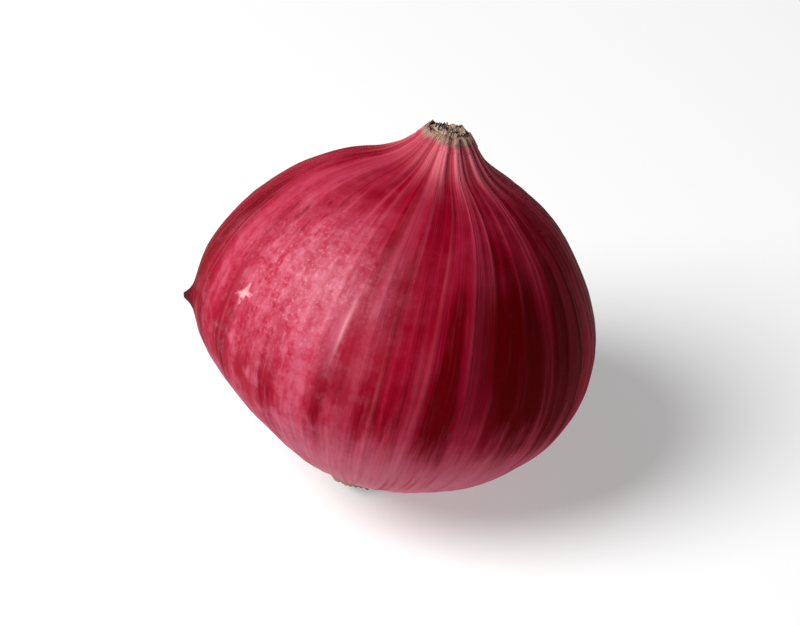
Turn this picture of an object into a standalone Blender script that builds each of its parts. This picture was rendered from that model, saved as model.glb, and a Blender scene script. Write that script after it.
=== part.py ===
"""A shallot bulb as one grown solid, leaning a little on the flat spot that it rests on.

Metres, +Z up. The origin is on the flat spot, straight below the centre of volume. The bulb's own
axis runs from the root plate up through the dried neck, and leans towards +X and +Y.
"""

import math

import bmesh
import bpy
from mathutils import Matrix, Vector

# Driving dimensions: lengths in metres, angles in degrees.
BULB_RADIUS = 0.0220  # widest half-width, square to the axis
SHOULDER_HEIGHT = 0.0212  # from the widest ring up to the crown of the shoulders
ROOT_DEPTH = 0.0169  # from the widest ring down to the root end
NECK_RISE = 0.0041  # how far the neck is drawn out above the crown
NECK_SPREAD = 10.5  # angle at the bulb's centre over which the neck dies into the shoulders
NECK_TOP = 0.0250  # from the widest ring to the trimmed end of the neck
ROOT_PLATE_RISE = 0.0008  # how far the root plate stands out of the root end
ROOT_PLATE_SPREAD = 15.0  # angle at the bulb's centre that the root plate covers, from its middle
LOBES = 3  # the swollen scales inside show as a few broad lobes
LOBE_HEIGHT = 0.00015
LOBE_PHASE = 25.0
LEAN = 20.0  # of the axis from the vertical
LEAN_TOWARDS = 44.5  # compass of the lean: 0 is +X, 90 is +Y
FLAT_DEPTH = 0.0005  # how far the rest spot is pressed into the belly

# Where the bulb departs from a turned shape: name, angle from the neck, angle round the axis,
# spread, and height. A negative height is a hollow.
SWELLINGS = (
    ("flat_side", 136.0, 195.0, 25.0, -0.0020),
    ("high_shoulder", 86.0, 172.0, 26.0, 0.0011),
    ("neck_hollow", 27.0, 125.0, 13.0, -0.0005),
)

RINGS = 46
SEGMENTS = 80
END_DENSITY = 0.7  # 0 spaces the rings evenly; nearer 1 gathers them at the neck and the root

SKIN_COLOUR = (0.27, 0.014, 0.045, 1.0)
SKIN_ROUGHNESS = 0.42


def clear_scene():
    for obj in list(bpy.data.objects):
        bpy.data.objects.remove(obj, do_unlink=True)


def direction(polar, around):
    """The unit vector at an angle from the neck and an angle round the axis."""
    return Vector((
        math.sin(polar) * math.cos(around),
        math.sin(polar) * math.sin(around),
        math.cos(polar),
    ))


def bulb_radius(polar, around):
    """Distance from the bulb's centre to its skin in one direction."""
    half_height = SHOULDER_HEIGHT if polar < math.pi / 2 else ROOT_DEPTH
    radius = 1 / math.hypot(math.sin(polar) / BULB_RADIUS, math.cos(polar) / half_height)
    radius += NECK_RISE * math.exp(-((math.degrees(polar) / NECK_SPREAD) ** 2))
    from_root = 180 - math.degrees(polar)
    radius += ROOT_PLATE_RISE * math.exp(-((from_root / ROOT_PLATE_SPREAD) ** 4))
    lobe_angle = LOBES * (around - math.radians(LOBE_PHASE))
    radius += LOBE_HEIGHT * math.sin(polar) ** 2 * math.cos(lobe_angle)
    here = direction(polar, around)
    for _, swell_polar, swell_around, spread, height in SWELLINGS:
        middle = direction(math.radians(swell_polar), math.radians(swell_around))
        away = math.degrees(here.angle(middle))
        radius += height * math.exp(-((away / spread) ** 2))
    return radius


def ring_polar(ring):
    """The angle from the neck of one ring of vertices."""
    share = ring / RINGS
    return math.pi * (share - END_DENSITY * math.sin(2 * math.pi * share) / (2 * math.pi))


def add_bulb_surface(mesh):
    """The whole closed skin, upright and centred, as rings of vertices between two poles."""
    rings = []
    for ring in range(1, RINGS):
        polar = ring_polar(ring)
        rings.append([
            mesh.verts.new(direction(polar, around) * bulb_radius(polar, around))
            for around in (2 * math.pi * step / SEGMENTS for step in range(SEGMENTS))
        ])
    neck_pole = mesh.verts.new(Vector((0, 0, bulb_radius(0, 0))))
    root_pole = mesh.verts.new(Vector((0, 0, -bulb_radius(math.pi, 0))))
    for step in range(SEGMENTS):
        after = (step + 1) % SEGMENTS
        mesh.faces.new((neck_pole, rings[0][step], rings[0][after]))
        mesh.faces.new((root_pole, rings[-1][after], rings[-1][step]))
        for upper, lower in zip(rings, rings[1:]):
            mesh.faces.new((upper[step], lower[step], lower[after], upper[after]))


def cut_flat(mesh, point, outward):
    """Cuts away what lies beyond a plane and closes the cut with one flat face."""
    everything = mesh.verts[:] + mesh.edges[:] + mesh.faces[:]
    cut = bmesh.ops.bisect_plane(
        mesh, geom=everything, dist=1e-7, plane_co=point, plane_no=outward, clear_outer=True
    )
    rim = [item for item in cut["geom_cut"] if isinstance(item, bmesh.types.BMEdge)]
    bmesh.ops.edgeloop_fill(mesh, edges=rim)


def centre_of_volume(mesh):
    """The centre of the solid, from the tetrahedra that its triangles make with the origin."""
    volume = 0.0
    moment = Vector((0, 0, 0))
    for corners in mesh.calc_loop_triangles():
        a, b, c = (loop.vert.co for loop in corners)
        share = a.dot(b.cross(c)) / 6
        volume += share
        moment += share * (a + b + c) / 4
    return moment / volume


def make_bulb_mesh():
    mesh = bmesh.new()
    add_bulb_surface(mesh)
    cut_flat(mesh, Vector((0, 0, NECK_TOP)), Vector((0, 0, 1)))
    compass = math.radians(LEAN_TOWARDS)
    tilt_axis = Vector((-math.sin(compass), math.cos(compass), 0))
    lean = Matrix.Rotation(math.radians(LEAN), 4, tilt_axis)
    bmesh.ops.transform(mesh, matrix=lean, verts=mesh.verts)
    flat_height = min(vert.co.z for vert in mesh.verts) + FLAT_DEPTH
    cut_flat(mesh, Vector((0, 0, flat_height)), Vector((0, 0, -1)))
    bmesh.ops.recalc_face_normals(mesh, faces=mesh.faces)
    centre = centre_of_volume(mesh)
    bmesh.ops.translate(mesh, vec=Vector((-centre.x, -centre.y, -flat_height)), verts=mesh.verts)
    return mesh


def skin_material():
    material = bpy.data.materials.new("shallot_skin")
    material.use_nodes = True
    shader = material.node_tree.nodes["Principled BSDF"]
    shader.inputs["Base Color"].default_value = SKIN_COLOUR
    shader.inputs["Roughness"].default_value = SKIN_ROUGHNESS
    shader.inputs["Metallic"].default_value = 0.0
    material.diffuse_color = SKIN_COLOUR
    return material


def make_shallot():
    data = bpy.data.meshes.new("shallot")
    mesh = make_bulb_mesh()
    mesh.to_mesh(data)
    mesh.free()
    data.materials.append(skin_material())
    data.shade_smooth()
    data.set_sharp_from_angle(angle=math.radians(40))
    shallot = bpy.data.objects.new("shallot", data)
    bpy.context.scene.collection.objects.link(shallot)
    return shallot


clear_scene()
make_shallot()
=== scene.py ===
import math

import bpy
from mathutils import Matrix, Vector


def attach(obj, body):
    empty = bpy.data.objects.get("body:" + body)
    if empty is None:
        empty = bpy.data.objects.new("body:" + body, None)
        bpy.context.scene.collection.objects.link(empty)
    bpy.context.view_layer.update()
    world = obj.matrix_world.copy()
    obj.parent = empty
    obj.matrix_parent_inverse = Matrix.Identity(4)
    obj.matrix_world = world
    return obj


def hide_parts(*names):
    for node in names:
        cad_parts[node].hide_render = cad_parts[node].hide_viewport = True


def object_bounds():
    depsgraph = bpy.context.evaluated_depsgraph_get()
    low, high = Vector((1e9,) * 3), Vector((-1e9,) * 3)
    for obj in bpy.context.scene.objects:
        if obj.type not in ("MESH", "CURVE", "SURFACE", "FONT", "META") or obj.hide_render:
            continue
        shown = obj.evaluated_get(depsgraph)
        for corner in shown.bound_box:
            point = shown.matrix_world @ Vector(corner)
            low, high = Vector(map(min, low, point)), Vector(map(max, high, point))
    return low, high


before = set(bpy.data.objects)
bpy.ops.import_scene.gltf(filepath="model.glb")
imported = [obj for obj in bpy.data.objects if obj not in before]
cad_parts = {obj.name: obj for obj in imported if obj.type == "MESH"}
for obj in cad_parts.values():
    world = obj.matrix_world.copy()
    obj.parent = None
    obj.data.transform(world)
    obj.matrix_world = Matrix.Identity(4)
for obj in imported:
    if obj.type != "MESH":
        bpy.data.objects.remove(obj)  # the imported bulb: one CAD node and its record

cadLow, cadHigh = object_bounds()
width = cadHigh.x - cadLow.x  # the sizes below that are shares are shares of this
print("frame loaded, bulb", round(width * 1000, 1), "mm wide")

# how the bulb sits: its axis leans off the vertical, and its widest ring is centred here
stance = dict(
    lean=20.0,  # degrees off the vertical
    leanTowards=44.5,  # compass of the lean, 0 is +X and 90 is +Y
    centre=(-0.0112, -0.0130, 0.3890),  # shares of the width, from the spot it rests on
)
bulbCentre = Vector(stance["centre"]) * width
leanCompass = math.radians(stance["leanTowards"])
leanAxis = Vector((-math.sin(leanCompass), math.cos(leanCompass), 0))
leanTurn = Matrix.Rotation(math.radians(stance["lean"]), 3, leanAxis)


class Flow:  # an output socket that + - * / ** work on, each adding a Math or a Vector Math node
    def __init__(self, graph, socket):
        self.graph = graph
        self.socket = socket
        self.wide = socket.type in {"VECTOR", "RGBA"}


def addOperator(name, operation):
    def forward(self, other):
        return self.graph.calc(operation, self, other)

    def reflected(self, other):
        return self.graph.calc(operation, other, self)

    setattr(Flow, f"__{name}__", forward)
    setattr(Flow, f"__r{name}__", reflected)


for operatorName, nodeOperation in (
    ("add", "ADD"),
    ("sub", "SUBTRACT"),
    ("mul", "MULTIPLY"),
    ("truediv", "DIVIDE"),
    ("pow", "POWER"),
):
    addOperator(operatorName, nodeOperation)


class Graph:  # adds nodes to one tree, a material's or a Geometry Nodes one
    def __init__(self, tree):
        self.tree = tree

    # settings go on the node first, then its sockets get values or links; out picks the output
    def add(self, kind, settings=None, sockets=None, out=0):
        made = self.tree.nodes.new(kind)
        for name, value in (settings or {}).items():
            setattr(made, name, value)
        for key, value in (sockets or {}).items():
            self.feed(made.inputs[key], value)
        if isinstance(out, tuple):
            return [Flow(self, made.outputs[key]) for key in out]
        return Flow(self, made.outputs[out])

    def feed(self, socket, value):
        if isinstance(value, Flow):
            self.tree.links.new(value.socket, socket)
        elif socket.type == "VECTOR" and isinstance(value, (int, float)):
            socket.default_value = (value,) * 3
        elif socket.type == "RGBA":
            socket.default_value = (*value[:3], 1.0)
        else:
            socket.default_value = value

    def calc(self, operation, *values):
        wide = any(getattr(value, "wide", False) for value in values)
        kind = "ShaderNodeVectorMath" if wide else "ShaderNodeMath"
        return self.add(kind, {"operation": operation}, dict(enumerate(values)))

    def number(self, operation, *values):  # a Vector Math node that gives one number, such as a dot product
        return self.add("ShaderNodeVectorMath", {"operation": operation}, dict(enumerate(values)), "Value")

    def vector(self, x, y, z):
        return self.add("ShaderNodeCombineXYZ", {}, {"X": x, "Y": y, "Z": z})

    def split(self, vector):
        return self.add("ShaderNodeSeparateXYZ", {}, {"Vector": vector}, ("X", "Y", "Z"))

    def noise(self, vector, scale, detail=2.0, roughness=0.5):
        sockets = {"Vector": vector, "Scale": scale, "Detail": detail, "Roughness": roughness}
        return self.add("ShaderNodeTexNoise", {"noise_dimensions": "3D"}, sockets, 0)

    # a smooth step from low to high; low may be the larger, and the step then falls
    def ease(self, value, low, high, start=0.0, end=1.0):
        sockets = {"Value": value, "From Min": low, "From Max": high, "To Min": start, "To Max": end}
        return self.add("ShaderNodeMapRange", {"interpolation_type": "SMOOTHSTEP"}, sockets)

    def blend(self, share, first, second):  # of two colours
        return self.add("ShaderNodeMix", {"data_type": "RGBA"}, {0: share, 6: first, 7: second}, 2)


# the rules that the skin's shape and its colour share; here is a unit vector from the bulb's centre

pattern = dict(
    veins=34,  # main veins round the bulb
    wander=0.06,  # how far a vein strays, in radians
    jitter=0.45,  # how uneven their spacing is, in shares of it
    driedPoint=(94.6, 174.8),  # angle from the neck and angle round the axis, in degrees
)
cells = dict(mottle=40.018, grain=115.606, clouds=18.675, ragged=66.696)  # noise cells in one width
weldDistance = 1e-6  # metres; points nearer than this are made one


def direction(polar, around):
    up = math.radians(polar)
    turn = math.radians(around)
    return (math.sin(up) * math.cos(turn), math.sin(up) * math.sin(turn), math.cos(up))


def near(graph, here, polar, around, spread):  # 1 at one place on the skin, falling off over spread degrees
    cosine = graph.number("DOT_PRODUCT", here, direction(polar, around))
    away = graph.calc("ARCCOSINE", graph.calc("MINIMUM", cosine, 0.9999999)) * (math.degrees(1) / spread)
    return graph.calc("EXPONENT", away * away * -1.0)


def angles(graph, here):  # radians from the neck, and round the axis with a slow wander
    x, y, z = graph.split(here)
    polar = graph.calc("ARCCOSINE", z)
    stray = (graph.noise(here, 1.1, 0.0) - 0.5) * (2 * pattern["wander"])
    return polar, graph.calc("ARCTAN2", y, x) + stray


# noise drawn out from neck to root: fineness is features round the bulb, run is changes along it
def streaks(graph, polar, around, fineness, run, detail=2.0, shift=0.0):
    spin = fineness / math.pi
    x = graph.calc("COSINE", around) * spin
    y = graph.calc("SINE", around) * spin
    return graph.noise(graph.vector(x, y, polar * run + shift), 1.0, detail)


# lines from neck to root, 1 on a line: count is how many, thin is their share of the spacing
def lines(graph, polar, around, count, thin, jitter, shift=0.0):
    sway = (streaks(graph, polar, around, count * 0.9, 0.16, 0.0, shift) - 0.5) * (4 * jitter)
    place = around * (count / (2 * math.pi)) + sway
    distance = graph.calc("PINGPONG", place, 0.5) * 2.0
    return graph.ease(distance, thin, 0.0)


bulb = dict(  # the skin that is the bulb's outside; lengths are shares of the width, angles are in degrees
    radius=0.49478,
    shoulderHeight=0.47679,
    rootDepth=0.38008,
    neckRise=0.09221,
    neckSpread=10.9,
    neckTop=0.54800,
    neckDip=0.01600,  # how far the middle of the neck's end is sunk
    rootPlateRise=0.01799,
    rootPlateSpread=15.0,
    lobes=3,
    lobeHeight=0.00337,
    lobePhase=25.0,
    swellings=(  # angle from the neck, angle round the axis, spread, height
        (136.0, 195.0, 25.0, -0.04498),
        (86.0, 172.0, 26.0, 0.02474),
        (27.0, 125.0, 13.0, -0.01125),
        (*pattern["driedPoint"], 3.3, 0.01300),
        (*pattern["driedPoint"], 1.5, 0.01700),
    ),
    pleats=17,  # folds drawn in at the neck
    pleatHeight=0.0080,
    veinHeight=0.0011,
    unevenness=0.0120,
    dents=0.0030,
    footRounding=0.0080,  # how softly the skin turns into the flat spot
    rings=232,
    segments=420,
    endDensity=0.72,
)


def geometryTree(name, sizes):  # sizes are named inputs: a number, a count, a vector or a material
    kinds = {float: "NodeSocketFloat", int: "NodeSocketInt", Vector: "NodeSocketVector"}
    tree = bpy.data.node_groups.new(name, "GeometryNodeTree")
    tree.interface.new_socket(name="Geometry", in_out="OUTPUT", socket_type="NodeSocketGeometry")
    for title, value in sizes.items():
        kind = kinds.get(type(value), "NodeSocketMaterial")
        tree.interface.new_socket(name=title, in_out="INPUT", socket_type=kind)
    graph = Graph(tree)
    given = tree.nodes.new("NodeGroupInput")
    return graph, {title: Flow(graph, given.outputs[title]) for title in sizes}


def endTree(graph, geometry, material):
    real = graph.add("GeometryNodeRealizeInstances", {}, {"Geometry": geometry})
    smooth = graph.add("GeometryNodeSetShadeSmooth", {}, {"Geometry": real})
    painted = graph.add("GeometryNodeSetMaterial", {}, {"Geometry": smooth, "Material": material})
    graph.feed(graph.tree.nodes.new("NodeGroupOutput").inputs["Geometry"], painted)
    return graph.tree


def grown(name, tree, sizes, thickness=0.0):  # runs a tree and keeps what it makes as a plain mesh
    seed = bpy.data.objects.new(name + "_seed", bpy.data.meshes.new(name + "_seed"))
    bpy.context.scene.collection.objects.link(seed)
    modifier = seed.modifiers.new("grow", "NODES")
    modifier.node_group = tree
    for item in tree.interface.items_tree:
        if item.in_out == "INPUT":
            modifier[item.identifier] = sizes[item.name]
    if thickness:
        solid = seed.modifiers.new("thickness", "SOLIDIFY")
        solid.thickness = thickness
        solid.offset = 0.0
        solid.use_even_offset = False
    evaluated = seed.evaluated_get(bpy.context.evaluated_depsgraph_get())
    mesh = bpy.data.meshes.new_from_object(evaluated)
    seed.modifiers.clear()
    bpy.data.objects.remove(seed, do_unlink=True)
    mesh.name = name
    piece = bpy.data.objects.new(name, mesh)
    bpy.context.scene.collection.objects.link(piece)
    return piece


def standing():  # how a piece is turned from the bulb's own axes and where it is set down
    return {"Lean": math.radians(stance["lean"]), "Lean Axis": leanAxis, "Centre": bulbCentre}


def inPlace(graph, local, lean, axis, centre):  # from the bulb's own axes to the frame's
    sockets = {"Vector": local, "Center": 0.0, "Axis": axis, "Angle": lean}
    return graph.add("ShaderNodeVectorRotate", {"rotation_type": "AXIS_ANGLE"}, sockets) + centre


# how far the pleats at the neck and the creases at the root push the skin out or in
def pleatPush(graph, polar, around, height):
    degrees = polar * math.degrees(1)
    drawnIn = graph.ease(degrees, 30.0, 10.0) * graph.ease(degrees, 2.0, 7.0, 0.35, 1.0)
    folds = streaks(graph, polar, around, bulb["pleats"], 0.5, 1.0) - 0.5
    rootFolds = graph.ease(degrees, 140.0, 166.0) * (streaks(graph, polar, around, 34, 0.6, 1.0, 9.0) - 0.5)
    return height * (drawnIn * folds * 2.4 + rootFolds * 0.8)


def bulbTree(sizes):
    graph, size = geometryTree("bulb skin", sizes)
    sockets = {
        "Size X": 1.0,
        "Size Y": 1.0,
        "Vertices X": graph.add("FunctionNodeIntegerMath", {}, {0: size["Segments"], 1: 1}),
        "Vertices Y": graph.add("FunctionNodeIntegerMath", {}, {0: size["Rings"], 1: 1}),
    }
    grid, gridMap = graph.add("GeometryNodeMeshGrid", {}, sockets, ("Mesh", "UV Map"))
    mapped = graph.add(
        "GeometryNodeStoreNamedAttribute",
        {"data_type": "FLOAT2", "domain": "CORNER"},
        {"Geometry": grid, "Name": "UVMap", "Value": gridMap},
    )
    x, y, _ = graph.split(graph.add("GeometryNodeInputPosition"))
    turn = (x + 0.5) * (2 * math.pi)
    share = 0.5 - y
    gathered = graph.calc("SINE", share * (2 * math.pi)) * size["End Density"] / (2 * math.pi)
    fall = (share - gathered) * math.pi
    sine = graph.calc("SINE", fall)
    cosine = graph.calc("COSINE", fall)
    here = graph.vector(sine * graph.calc("COSINE", turn), sine * graph.calc("SINE", turn), cosine)

    # the turned shape: a half ellipse above the widest ring and a flatter one below it
    upper = graph.calc("GREATER_THAN", cosine, 0.0)
    halfHeight = size["Root Depth"] + upper * (size["Shoulder Height"] - size["Root Depth"])
    across = sine / size["Radius"]
    along = cosine / halfHeight
    radius = 1.0 / graph.calc("SQRT", across * across + along * along)
    degrees = fall * math.degrees(1)
    fromNeck = degrees / size["Neck Spread"]
    radius = radius + size["Neck Rise"] * graph.calc("EXPONENT", fromNeck * fromNeck * -1.0)
    fromRoot = (180.0 - degrees) / size["Root Plate Spread"]
    radius = radius + size["Root Plate Rise"] * graph.calc("EXPONENT", fromRoot**4.0 * -1.0)
    lobed = graph.calc("COSINE", (turn - math.radians(bulb["lobePhase"])) * bulb["lobes"])
    radius = radius + size["Lobe Height"] * sine * sine * lobed
    for polar, around, spread, height in bulb["swellings"]:
        radius = radius + near(graph, here, polar, around, spread) * (height * width)

    # what the CAD leaves out: pleats at the neck, raised veins, and the unevenness of the scales inside
    polar, around = angles(graph, here)
    radius = radius + pleatPush(graph, polar, around, size["Pleat Height"])
    veins = lines(graph, polar, around, pattern["veins"], 0.55, pattern["jitter"])
    radius = radius + size["Vein Height"] * veins * graph.ease(degrees, 6.0, 30.0)
    radius = radius + size["Unevenness"] * (graph.noise(here, 1.6, 1.0) - 0.5) * 2.0
    radius = radius + size["Dents"] * (graph.noise(here, 5.0, 2.0) - 0.5) * 2.0

    localX, localY, localZ = graph.split(here * radius)
    overEnd = graph.vector(localX, localY, 0.0)
    endRagged = (graph.noise(overEnd, cells["mottle"] / width, 1.0) - 0.5) * size["Neck Dip"]
    sunk = size["Neck Dip"] * graph.ease(degrees, 4.6, 1.0)
    localZ = graph.calc("SMOOTH_MIN", localZ, size["Neck Top"] - sunk + endRagged, size["Neck Dip"] * 0.6)
    local = graph.vector(localX, localY, localZ)
    placed = inPlace(graph, local, size["Lean"], size["Lean Axis"], size["Centre"])
    placedX, placedY, placedZ = graph.split(placed)
    resting = graph.vector(placedX, placedY, graph.calc("SMOOTH_MAX", placedZ, 0.0, size["Foot Rounding"]))
    shaped = graph.add("GeometryNodeSetPosition", {}, {"Geometry": mapped, "Position": resting})
    closed = graph.add("GeometryNodeMergeByDistance", {}, {"Geometry": shaped, "Distance": weldDistance})
    return endTree(graph, closed, size["Material"])


def makeBulb(material):
    names = (
        ("Radius", "radius"),
        ("Shoulder Height", "shoulderHeight"),
        ("Root Depth", "rootDepth"),
        ("Neck Rise", "neckRise"),
        ("Neck Top", "neckTop"),
        ("Neck Dip", "neckDip"),
        ("Root Plate Rise", "rootPlateRise"),
        ("Lobe Height", "lobeHeight"),
        ("Pleat Height", "pleatHeight"),
        ("Vein Height", "veinHeight"),
        ("Unevenness", "unevenness"),
        ("Dents", "dents"),
        ("Foot Rounding", "footRounding"),
    )
    sizes = {title: bulb[name] * width for title, name in names}
    sizes["Neck Spread"] = bulb["neckSpread"]
    sizes["Root Plate Spread"] = bulb["rootPlateSpread"]
    sizes["End Density"] = bulb["endDensity"]
    sizes["Rings"] = bulb["rings"]
    sizes["Segments"] = bulb["segments"]
    sizes.update(standing())
    sizes["Material"] = material
    return grown("bulb_skin", bulbTree(sizes), sizes)


skin = dict(
    crimson=(0.262, 0.002, 0.017),
    deep=(0.104, 0.0001, 0.001),
    # pale pink dust, also the colour of the painted highlight
    rose=(0.370, 0.028, 0.062),
    dustAndHighlight=(0.490, 0.125, 0.185),
    vein=(0.480, 0.075, 0.110),
    ray=(0.600, 0.140, 0.180),
    pale=(0.660, 0.290, 0.320),
    dry=(0.330, 0.230, 0.170),
    dryDark=(0.070, 0.040, 0.030),
    scar=(0.040, 0.010, 0.012),
    rootEnd=(0.460, 0.250, 0.170),
    roughness=0.50,
    gloss=0.01,
    coat=0.16,  # where the skin is thin and shiny
    coatRoughness=0.36,
    bumpDepth=0.0032,  # a share of the width
)

# where the marks are: angle from the neck, angle round the axis and, but for the nick, spread, in degrees
marks = dict(
    # the dusty place and its centre are pale dust in part and a painted highlight in part
    dustyAndLit=(68.0, 225.0, 33.0),
    paintedHighlight=(66.0, 232.0, 26.0),
    clouded=(92.0, 216.0, 36.0),
    shaded=(78.0, 322.0, 40.0),
    scuffed=(46.0, 212.0, 13.0),
    crease=(73.5, 247.5, 7.5),
    creaseLip=(73.5, 246.0, 9.0),
    creaseShade=(77.0, 253.0, 8.0),
    nick=(78.8, 208.6),
)


def newMaterial(name):
    material = bpy.data.materials.new(name)
    material.use_nodes = True
    shader = material.node_tree.nodes["Principled BSDF"]
    return material, Graph(material.node_tree), shader


def addBump(graph, shader, strength, depth, height):
    sockets = {"Strength": strength, "Distance": depth, "Height": height}
    graph.feed(shader.inputs["Normal"], graph.add("ShaderNodeBump", {}, sockets))


def localDirection(graph):  # Object coordinates turned into the bulb's own axes
    place = graph.add("ShaderNodeTexCoord", {}, {}, "Object")
    sockets = {"Vector": place, "Location": bulbCentre, "Rotation": leanTurn.to_euler()}
    local = graph.add("ShaderNodeMapping", {"vector_type": "TEXTURE"}, sockets)
    return local, graph.calc("NORMALIZE", local)


def skinMaterial():
    material, graph, shader = newMaterial("crimson_skin")
    local, here = localDirection(graph)
    polar, around = angles(graph, here)
    degrees = polar * math.degrees(1)
    compass = around * math.degrees(1)
    up = graph.split(local)[2] / width

    # broad stripes from neck to root, fibres in them, and fine dust that lies over both
    bands = streaks(graph, polar, around, 9, 0.35, 1.0, 3.0)
    stripes = streaks(graph, polar, around, 27, 0.45, 1.0, 6.0)
    fibres = streaks(graph, polar, around, 120, 5.0, 3.0, 12.0)
    mottle = graph.noise(local, cells["mottle"] / width, 4.0, 0.65)
    grain = graph.noise(local, cells["grain"] / width, 2.0, 0.6)
    patches = graph.noise(here, 3.0, 4.0, 0.6)

    # where the outer skin is thin and dusty, with a painted highlight there on the lit side, and painted
    # shade on the shaded side
    uneven = (patches - 0.5) * 0.6 + (stripes - 0.5) * 0.5
    dustyAndLit = graph.ease(near(graph, here, *marks["dustyAndLit"]) + uneven, 0.12, 0.88)
    shaded = near(graph, here, *marks["shaded"])
    fingers = (stripes - 0.5) * 26.0 + (fibres - 0.5) * 24.0 + (patches - 0.5) * 16.0
    lowSkin = graph.ease(degrees + fingers, 92.0, 116.0)
    shoulder = graph.ease(degrees, 60.0, 38.0) * (1.0 - shaded)

    # painted shade: darker bands, fewer pale stripes and fainter veins on the shaded side
    colour = graph.blend(graph.ease(bands + shaded * -0.22, 0.30, 0.50), skin["deep"], skin["crimson"])
    colour = graph.blend(shoulder * 0.8, colour, skin["crimson"])
    dark = graph.ease(stripes + (patches - 0.5) * 0.15, 0.54, 0.40)
    calm = (1.0 - lowSkin * 0.85) * (1.0 - shoulder * 0.55)
    colour = graph.blend(dark * (0.90 - dustyAndLit * 0.62) * calm, colour, skin["deep"])
    light = graph.ease(stripes + (patches - 0.5) * 0.15, 0.52, 0.68)
    colour = graph.blend(light * (0.36 + shoulder * 0.40 - shaded * 0.30), colour, skin["rose"])
    colour = graph.blend(shoulder * graph.ease(patches, 0.40, 0.70) * 0.55, colour, skin["rose"])
    colour = graph.blend(dustyAndLit * 0.80, colour, skin["rose"])
    colour = graph.blend(lowSkin * 0.80, colour, skin["rose"])
    colour = graph.blend(graph.ease(degrees + fingers * 0.4, 101.0, 124.0) * 0.90, colour, skin["dustAndHighlight"])
    colour = graph.blend(graph.ease(degrees, 118.0, 160.0) * 0.65, colour, skin["pale"])
    rootVeins = streaks(graph, polar, around, 46, 1.2, 2.0, 90.0)
    rootward = graph.ease(degrees, 104.0, 128.0)
    colour = graph.blend(graph.ease(rootVeins, 0.52, 0.34) * rootward * 0.55, colour, skin["rose"])
    colour = graph.blend(graph.ease(rootVeins, 0.44, 0.30) * rootward * 0.45, colour, skin["crimson"])

    # clouds of deeper red where the skin is dusty, veins drawn in part only and fainter in the painted
    # shade, and the dust, which is also the painted highlight
    clouds = graph.noise(local, cells["clouds"] / width, 4.0, 0.65)
    cloud = clouds + (stripes - 0.5) * 0.25 + (fibres - 0.5) * 0.25
    leftward = near(graph, here, *marks["clouded"])
    colour = graph.blend(graph.ease(cloud, 0.60, 0.36) * leftward * 0.75, colour, skin["crimson"])
    colour = graph.blend(graph.ease(cloud, 0.44, 0.72) * leftward * 0.50, colour, skin["dustAndHighlight"])
    main = lines(graph, polar, around, pattern["veins"], 0.35, pattern["jitter"])
    shown = graph.ease(streaks(graph, polar, around, 16, 1.2, 1.0, 20.0), 0.46, 0.70)
    thin = lines(graph, polar, around, 2 * pattern["veins"], 0.55, 0.9, 30.0)
    thinShown = graph.ease(streaks(graph, polar, around, 22, 2.0, 1.0, 40.0), 0.48, 0.74)
    colour = graph.blend(main * (shown * 0.30 + 0.02) * (1.0 - shaded * 0.5), colour, skin["vein"])
    colour = graph.blend(thin * thinShown * 0.10, colour, skin["vein"])
    colour = graph.blend(graph.ease(fibres, 0.52, 0.74) * (dustyAndLit * 0.25 + 0.03), colour, skin["dustAndHighlight"])
    # painted highlight: more pale dust and grain at the highlight's centre on the lit side
    lit = near(graph, here, *marks["paintedHighlight"])
    drawn = graph.ease(streaks(graph, polar, around, 64, 3.0, 2.0, 70.0), 0.34, 0.64, 0.40, 1.0)
    dustedAndLit = dustyAndLit * drawn * (lit * 0.72 + 0.14) + lowSkin * 0.10
    colour = graph.blend(graph.ease(mottle, 0.34, 0.70) * dustedAndLit, colour, skin["dustAndHighlight"])
    colour = graph.blend(graph.ease(mottle, 0.46, 0.26) * 0.20, colour, skin["crimson"])
    colour = graph.blend(graph.ease(grain, 0.50, 0.80) * dustyAndLit * lit * 0.40, colour, skin["pale"])

    # a pale crease beside the middle with painted shade on its right side, and short dark scuffs on the
    # shoulder
    # compass runs from -180 to 180, so a place past 180 is a full turn less
    slant = compass + (360.0 - marks["crease"][1]) + (degrees - 73.0) * 0.10
    slant = slant + (stripes - 0.5) * 3.0 + (fibres - 0.5) * 1.5
    # painted shade on the crimson side of the crease
    creaseShading = graph.ease(slant, 0.0, 1.5) * near(graph, here, *marks["creaseShade"])
    colour = graph.blend(creaseShading * 0.55, colour, skin["crimson"])
    lip = graph.ease(slant, -5.0, -0.5) * graph.ease(slant, 1.0, -0.2)
    lip = lip * near(graph, here, *marks["creaseLip"])
    colour = graph.blend(lip * 0.55, colour, skin["dustAndHighlight"])
    crease = graph.calc("EXPONENT", slant * slant * -1.6) * near(graph, here, *marks["crease"])
    colour = graph.blend(crease * 0.50, colour, skin["pale"])
    scuffs = graph.ease(streaks(graph, polar, around, 50, 7.0, 1.0, 55.0), 0.56, 0.68)
    colour = graph.blend(scuffs * near(graph, here, *marks["scuffed"]) * 0.60, colour, skin["deep"])

    # a torn pale nick, and the dried point at the side
    ragged = graph.noise(local, cells["ragged"] / width, 2.0) - 0.5
    below = degrees - marks["nick"][0]
    beside = compass + (360.0 - marks["nick"][1])
    down = graph.calc("ABSOLUTE", below + beside * 0.35 + ragged * 2.5) ** 0.60
    aside = graph.calc("ABSOLUTE", beside + below * 0.15 + ragged * 3.0) ** 0.60
    nick = graph.ease(down + aside + ragged * 1.5, 2.9, 1.2)
    colour = graph.blend(nick * 0.95, colour, skin["pale"])
    colour = graph.blend(near(graph, here, *pattern["driedPoint"], 3.0) * 0.9, colour, skin["scar"])

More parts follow.
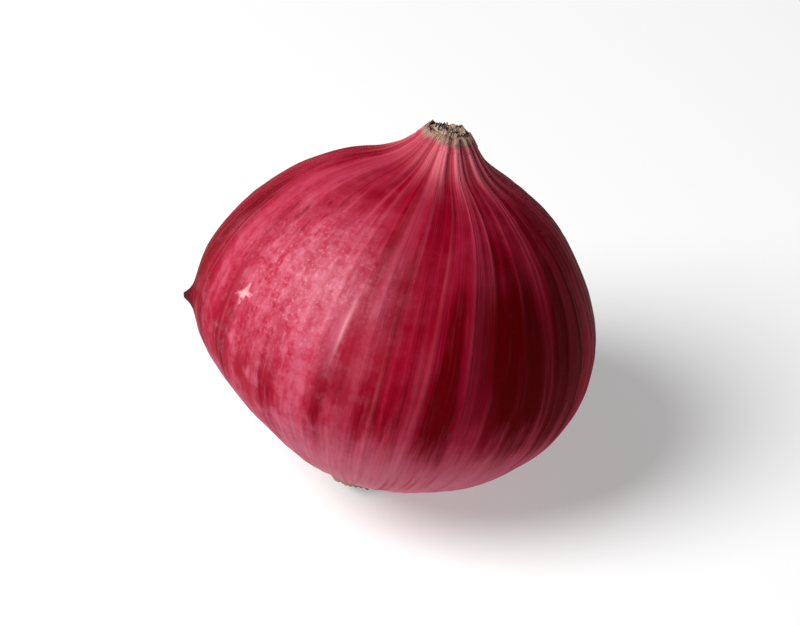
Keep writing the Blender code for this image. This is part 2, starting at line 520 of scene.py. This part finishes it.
    # pleats pale on their crests at the neck, and its dry end
    folds = streaks(graph, polar, around, bulb["pleats"], 0.5, 1.0)
    crests = graph.ease(folds, 0.40, 0.62) * graph.ease(degrees + (patches - 0.5) * 14.0, 30.0, 10.0)
    colour = graph.blend(crests * 0.85, colour, skin["vein"])
    colour = graph.blend(graph.ease(degrees, 21.0, 8.0) * (crests * 0.65 + 0.25), colour, skin["ray"])
    rind = graph.blend(graph.ease(mottle + (fibres - 0.5) * 0.6, 0.36, 0.60), skin["dryDark"], skin["dry"])
    dried = graph.ease(up + (stripes - 0.5) * 0.03 + (fibres - 0.5) * 0.02, 0.525, 0.540)
    colour = graph.blend(dried * 0.92, colour, rind)
    rootDried = graph.ease(degrees + (stripes - 0.5) * 10.0 + (fibres - 0.5) * 6.0, 163.0, 169.0)
    tanned = graph.blend(graph.ease(mottle, 0.40, 0.62), skin["dry"], skin["rootEnd"])
    colour = graph.blend(rootDried * 0.9, colour, tanned)

    graph.feed(shader.inputs["Base Color"], colour)
    worn = (fibres - 0.5) * 0.18 + (mottle - 0.5) * 0.20 + dried * 0.2 + rootDried * 0.2
    graph.feed(shader.inputs["Roughness"], worn + skin["roughness"])
    height = main * 0.30 + thin * 0.10 + fibres * 0.30 + stripes * 0.30
    height = height + mottle * 0.22 + crease * 0.3 - nick * 0.4
    addBump(graph, shader, 0.8, skin["bumpDepth"] * width, height)
    shader.inputs["Specular IOR Level"].default_value = skin["gloss"]
    graph.feed(shader.inputs["Coat Weight"], dustyAndLit * skin["coat"])
    shader.inputs["Coat Roughness"].default_value = skin["coatRoughness"]
    return material


crimsonSkin = skinMaterial()
bulbSkin = makeBulb(crimsonSkin)
print("skin grown,", len(bulbSkin.data.polygons), "faces")
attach(bulbSkin, "root")
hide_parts("shallot")

papers = dict(  # foot and rim: radius and height up the bulb's axis; lengths are shares of the width
    neck_paper_outer=dict(
        foot=(0.0800, 0.5060),
        rim=(0.0430, 0.5480),
        lift=0.0095,
        crumple=0.0030,
        ragged=0.20,
        folds=15,
        seed=2,
        outermost=True,
    ),
    neck_paper_middle=dict(
        foot=(0.0430, 0.5200),
        rim=(0.0370, 0.5530),
        lift=0.0,
        crumple=0.0070,
        ragged=0.30,
        folds=11,
        seed=5,
        outermost=False,
    ),
    neck_paper_inner=dict(
        foot=(0.0240, 0.5250),
        rim=(0.0200, 0.5500),
        lift=0.0,
        crumple=0.0060,
        ragged=0.35,
        folds=7,
        seed=9,
        outermost=False,
    ),
    root_paper=dict(
        foot=(0.1080, -0.3720),
        rim=(0.0740, -0.3965),
        lift=0.0,
        crumple=0.0025,
        ragged=0.45,
        folds=26,
        seed=14,
        outermost=True,
    ),
)
paperMake = dict(thickness=0.0016, segments=240, rows=22)


def collarTree(sizes):  # a ring of thin paper, from a foot on the skin to a ragged rim
    graph, size = geometryTree("paper collar", sizes)
    sockets = {"Size X": 1.0, "Size Y": 1.0, "Vertices X": size["Segments"], "Vertices Y": size["Rows"]}
    grid = graph.add("GeometryNodeMeshGrid", {}, sockets, "Mesh")
    x, y, _ = graph.split(graph.add("GeometryNodeInputPosition"))
    turn = (x + 0.5) * (2 * math.pi)
    share = y + 0.5
    cosine = graph.calc("COSINE", turn)
    sine = graph.calc("SINE", turn)

    def ripple(fineness, run, detail):
        spin = fineness / math.pi
        place = graph.vector(cosine * spin, sine * spin, share * run + size["Seed"] * 7.3)
        return graph.noise(place, 1.0, detail) - 0.5

    tatter = ripple(6.0, 0.0, 1.0) * 1.4 + ripple(40.0, 0.0, 2.0) * 0.9
    reach = share * (1.0 + size["Ragged"] * tatter * 2.0)
    height = size["Foot Height"] + (size["Rim Height"] - size["Foot Height"]) * reach
    radius = size["Rim Radius"] + (size["Foot Radius"] - size["Rim Radius"]) * (1.0 - share)
    radius = radius + size["Lift"] * graph.ease(share, 0.0, 0.30)
    creased = ripple(size["Folds"], 0.7, 1.0) * 2.4 + ripple(size["Folds"] * 3.0, 1.5, 1.0) * 0.8
    radius = radius + size["Crumple"] * creased * (0.1 + share)
    plain = graph.vector(cosine * radius, sine * radius, height)
    here = graph.calc("NORMALIZE", plain)
    polar, around = angles(graph, here)
    local = plain + here * pleatPush(graph, polar, around, size["Pleat Height"])
    placed = inPlace(graph, local, size["Lean"], size["Lean Axis"], size["Centre"])
    placedX, placedY, placedZ = graph.split(placed)
    clear = graph.vector(placedX, placedY, graph.calc("MAXIMUM", placedZ, paperMake["thickness"] * width))
    shaped = graph.add("GeometryNodeSetPosition", {}, {"Geometry": grid, "Position": clear})
    closed = graph.add("GeometryNodeMergeByDistance", {}, {"Geometry": shaped, "Distance": weldDistance})
    return endTree(graph, closed, size["Material"])


def makePaper(name, paper, material):
    sizes = {
        "Segments": paperMake["segments"],
        "Rows": paperMake["rows"],
        "Foot Radius": paper["foot"][0] * width,
        "Foot Height": paper["foot"][1] * width,
        "Rim Radius": paper["rim"][0] * width,
        "Rim Height": paper["rim"][1] * width,
        "Lift": paper["lift"] * width,
        "Crumple": paper["crumple"] * width,
        "Pleat Height": bulb["pleatHeight"] * width,
        "Ragged": paper["ragged"],
        "Folds": float(paper["folds"]),
        "Seed": paper["seed"],
        "Material": material,
        **standing(),
    }
    return grown(name, collarTree(sizes), sizes, paperMake["thickness"] * width)


paperLook = dict(
    pink=(0.480, 0.120, 0.130),
    tan=(0.480, 0.320, 0.210),
    brown=(0.120, 0.080, 0.055),
    grey=(0.250, 0.215, 0.185),
    roughness=0.72,
    gloss=0.2,
    bumpDepth=0.0045,  # a share of the width
)


def paperMaterial():
    material, graph, shader = newMaterial("dry_paper")
    local, here = localDirection(graph)
    polar, around = angles(graph, here)
    up = graph.split(local)[2] / width
    fibres = streaks(graph, polar, around, 90, 3.0, 2.0, 5.0)
    broad = streaks(graph, polar, around, 14, 2.0, 1.0, 8.0)
    grain = graph.noise(local, cells["grain"] / width, 3.0, 0.6)
    edge = up + (broad - 0.5) * 0.03
    colour = graph.blend(graph.ease(edge, 0.512, 0.540), paperLook["pink"], paperLook["tan"])
    colour = graph.blend(graph.ease(edge, 0.538, 0.562), colour, paperLook["grey"])
    colour = graph.blend(graph.ease(up, 0.0, -0.1), colour, paperLook["tan"])
    colour = graph.blend(graph.ease(fibres, 0.50, 0.30) * 0.75, colour, paperLook["brown"])
    colour = graph.blend(graph.ease(fibres, 0.56, 0.74) * 0.35, colour, paperLook["tan"])
    colour = graph.blend(graph.ease(grain, 0.55, 0.80) * 0.35, colour, paperLook["brown"])
    graph.feed(shader.inputs["Base Color"], colour)
    graph.feed(shader.inputs["Roughness"], (grain - 0.5) * 0.3 + paperLook["roughness"])
    addBump(graph, shader, 0.8, paperLook["bumpDepth"] * width, fibres * 0.8 + grain * 0.5)
    shader.inputs["Specular IOR Level"].default_value = paperLook["gloss"]
    return material


dryPaper = paperMaterial()
for paperName, paperSizes in papers.items():
    # the outermost papers are the skin's own torn ends
    finish = crimsonSkin if paperSizes["outermost"] else dryPaper
    paperPiece = makePaper(paperName, paperSizes, finish)
    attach(paperPiece, "root")
print("papers torn,", len(papers), "collars")

tableGap = 0.00225  # the least height above the table that a strand keeps, a share of the width
strands = dict(  # lengths are shares of the width
    root_stubs=dict(
        count=210,
        patchRadius=0.056,
        patchHeight=-0.391,
        length=0.014,
        thickness=0.0062,
        splay=0.6,
        aim=-1.0,
        curl=0.45,
        seed=3,
    ),
    neck_fibres=dict(
        count=26,
        patchRadius=0.030,
        patchHeight=0.533,
        length=0.024,
        thickness=0.0015,
        splay=0.35,
        aim=1.0,
        curl=0.35,
        seed=8,
    ),
)


def strandTree(sizes):  # tapered strands that stand on a round patch and splay outwards
    graph, size = geometryTree("dry strands", sizes)

    def chance(low, high, salt):
        sockets = {2: low, 3: high, 8: size["Seed"] + salt}
        return graph.add("FunctionNodeRandomValue", {"data_type": "FLOAT"}, sockets, 1)

    turn = chance(0.0, 2 * math.pi, 10)
    out = graph.calc("SQRT", chance(0.0, 1.0, 20)) * size["Patch Radius"]
    spotX = graph.calc("COSINE", turn) * out
    spotY = graph.calc("SINE", turn) * out
    spot = graph.vector(spotX, spotY, size["Patch Height"])
    points = graph.add("GeometryNodePoints", {}, {"Count": size["Count"], "Position": spot})

    bend = graph.vector(0.0, size["Curl"] * -0.4, 0.55)
    tip = graph.vector(size["Curl"], 0.0, 1.0)
    line = graph.add("GeometryNodeCurveQuadraticBezier", {}, {"Resolution": 7, "Middle": bend, "End": tip})
    along = graph.add("GeometryNodeSplineParameter", {}, {}, "Factor")
    tapered = graph.add("GeometryNodeSetCurveRadius", {}, {"Curve": line, "Radius": 1.0 - along * 0.6})
    ring = graph.add("GeometryNodeCurvePrimitiveCircle", {}, {"Resolution": 5, "Radius": size["Slimness"]})
    sockets = {"Curve": tapered, "Profile Curve": ring, "Fill Caps": True}
    strand = graph.add("GeometryNodeCurveToMesh", {}, sockets)

    x, y, _ = graph.split(graph.add("GeometryNodeInputPosition"))
    splay = size["Splay"] / size["Patch Radius"]
    aimX = x * splay + chance(-0.45, 0.45, 30)
    aimY = y * splay + chance(-0.45, 0.45, 40)
    aimed = graph.add(
        "FunctionNodeAlignRotationToVector", {"axis": "Z"}, {"Vector": graph.vector(aimX, aimY, size["Aim"])}
    )
    sockets = {"Axis": (0, 0, 1), "Angle": chance(0.0, 2 * math.pi, 50)}
    spun = graph.add("FunctionNodeAxisAngleToRotation", {}, sockets)
    turned = graph.add("FunctionNodeRotateRotation", {"rotation_space": "LOCAL"}, {0: aimed, 1: spun})
    long = size["Length"] * chance(0.45, 1.15, 60)
    scale = graph.vector(long, long, long)
    sockets = {"Points": points, "Instance": strand, "Rotation": turned, "Scale": scale}
    copies = graph.add("GeometryNodeInstanceOnPoints", {}, sockets)
    real = graph.add("GeometryNodeRealizeInstances", {}, {"Geometry": copies})
    local = graph.add("GeometryNodeInputPosition")
    placed = inPlace(graph, local, size["Lean"], size["Lean Axis"], size["Centre"])
    placedX, placedY, placedZ = graph.split(placed)
    # what would go under the table lies on it instead, still a little uneven
    lifted = graph.calc("SMOOTH_MAX", placedZ, size["Table Gap"], size["Table Gap"] * 2.0)
    shaped = graph.add(
        "GeometryNodeSetPosition", {}, {"Geometry": real, "Position": graph.vector(placedX, placedY, lifted)}
    )
    return endTree(graph, shaped, size["Material"])


def makeStrands(name, strand, material):
    sizes = {
        "Count": strand["count"],
        "Patch Radius": strand["patchRadius"] * width,
        "Patch Height": strand["patchHeight"] * width,
        "Length": strand["length"] * width,
        "Slimness": strand["thickness"] / strand["length"],
        "Splay": strand["splay"],
        "Aim": strand["aim"],
        "Curl": strand["curl"],
        "Table Gap": tableGap * width,
        "Seed": strand["seed"],
        "Material": material,
        **standing(),
    }
    return grown(name, strandTree(sizes), sizes)


strandLook = dict(
    pale=(0.420, 0.310, 0.210),
    dark=(0.130, 0.085, 0.055),
    roughness=0.8,
    bumpDepth=0.00225,  # a share of the width
)


def strandMaterial():
    material, graph, shader = newMaterial("dry_strand")
    local = localDirection(graph)[0]
    grain = graph.noise(local, cells["ragged"] / width, 3.0, 0.6)
    tone = graph.noise(local, cells["clouds"] / width, 1.0)
    colour = graph.blend(graph.ease(tone, 0.35, 0.65), strandLook["dark"], strandLook["pale"])
    colour = graph.blend(graph.ease(grain, 0.52, 0.75) * 0.5, colour, strandLook["dark"])
    graph.feed(shader.inputs["Base Color"], colour)
    graph.feed(shader.inputs["Roughness"], (grain - 0.5) * 0.3 + strandLook["roughness"])
    addBump(graph, shader, 0.7, strandLook["bumpDepth"] * width, grain)
    return material


dryStrand = strandMaterial()
for strandName, strandSizes in strands.items():
    strandPiece = makeStrands(strandName, strandSizes, dryStrand)
    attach(strandPiece, "root")
print("strands grown")

# a pale floor, soft light from the upper left, and a long lens; lengths are in metres unless marked
studio = dict(
    elevation=34.0,
    distance=0.80,
    pictureShape=0.78125,  # height over width
    fill=0.64,  # the bulb's width as a share of the picture's height
    aim=(0.0, 0.0, 0.44),  # shares of the width
    floorSize=2.4,
    floorDrop=0.00002,  # keeps the floor just clear of the bulb's flat spot
    floorColour=(0.55, 0.55, 0.55),
    floorGlow=0.36,  # a lit white table, so that shadows stay light
    air=(1.0, 1.0, 1.0),
    airStrength=0.10,
    keyDirection=(-0.62, -0.26, 0.74),
    keyDistance=0.60,
    keySize=0.42,
    keyWatts=6.4,
)


def makeFloor():
    half = studio["floorSize"] / 2
    mesh = bpy.data.meshes.new("floor")
    square = ((-half, -half), (half, -half), (half, half), (-half, half))
    corners = [(x, y, -studio["floorDrop"]) for x, y in square]
    mesh.from_pydata(corners, [], [(0, 1, 2, 3)])
    floor = bpy.data.objects.new("floor", mesh)
    bpy.context.scene.collection.objects.link(floor)
    material, graph, shader = newMaterial("pale_floor")
    shader.inputs["Base Color"].default_value = (*studio["floorColour"], 1.0)
    shader.inputs["Roughness"].default_value = 0.9
    shader.inputs["Specular IOR Level"].default_value = 0.0
    shader.inputs["Emission Color"].default_value = (1.0, 1.0, 1.0, 1.0)
    shader.inputs["Emission Strength"].default_value = studio["floorGlow"]
    mesh.materials.append(material)


def makeLight(name, towards, distance, size, watts):
    light = bpy.data.lights.new(name, "AREA")
    light.shape = "DISK"
    light.size = size
    light.energy = watts
    holder = bpy.data.objects.new(name, light)
    holder.location = Vector(towards).normalized() * distance + bulbCentre
    holder.rotation_mode = "QUATERNION"
    holder.rotation_quaternion = Vector(towards).to_track_quat("Z", "Y")
    bpy.context.scene.collection.objects.link(holder)


def makeAir():
    world = bpy.data.worlds.new("studio_air")
    world.use_nodes = True
    background = world.node_tree.nodes["Background"]
    background.inputs["Color"].default_value = (*studio["air"], 1.0)
    background.inputs["Strength"].default_value = studio["airStrength"]
    bpy.context.scene.world = world


def makeCamera():
    camera = bpy.data.cameras.new("camera")
    rise = math.radians(studio["elevation"])
    back = Vector((0, -math.cos(rise), math.sin(rise)))
    camera.sensor_width = 36.0
    pictureHeight = width / studio["fill"]
    camera.lens = camera.sensor_width * studio["pictureShape"] * studio["distance"] / pictureHeight
    holder = bpy.data.objects.new("camera", camera)
    holder.location = Vector(studio["aim"]) * width + back * studio["distance"]
    holder.rotation_mode = "QUATERNION"
    holder.rotation_quaternion = back.to_track_quat("Z", "Y")
    bpy.context.scene.collection.objects.link(holder)
    bpy.context.scene.camera = holder


makeFloor()
makeLight("key", studio["keyDirection"], studio["keyDistance"], studio["keySize"], studio["keyWatts"])
makeAir()
makeCamera()
bpy.context.scene.view_settings.view_transform = "Standard"
print("stage set")
